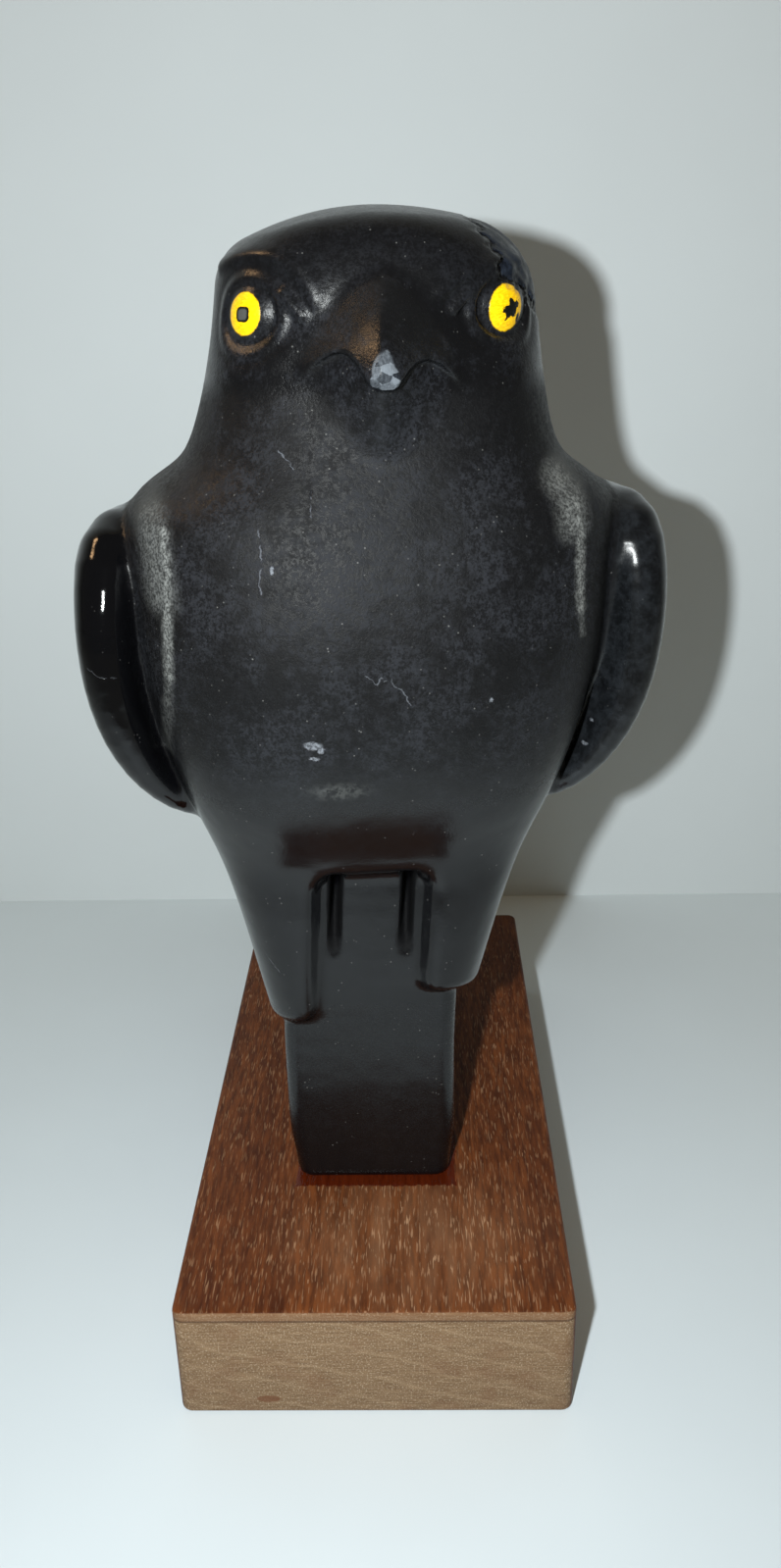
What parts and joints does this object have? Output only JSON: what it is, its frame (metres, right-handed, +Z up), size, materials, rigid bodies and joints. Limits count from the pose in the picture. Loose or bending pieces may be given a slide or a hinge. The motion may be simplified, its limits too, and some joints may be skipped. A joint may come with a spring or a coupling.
{
  "type": "falcon statue",
  "caption": "Standing falcon carved from polished black stone, with folded wings, a level crown, painted eyes and a square foot block, on a plain hardwood plinth.",
  "frame": {"origin": "centre of the plinth's underside", "axes": "+Z up through the plinth and the bird, -Y the way the bird faces, +X to the bird's left"},
  "size_m": [0.1632, 0.228, 0.3217],
  "materials": {
    "black_stone": "polished",
    "hardwood": "satin"
  },
  "bodies": {
    "root": {"falcon": "black_stone", "plinth": "hardwood"}
  },
  "joints": []
}
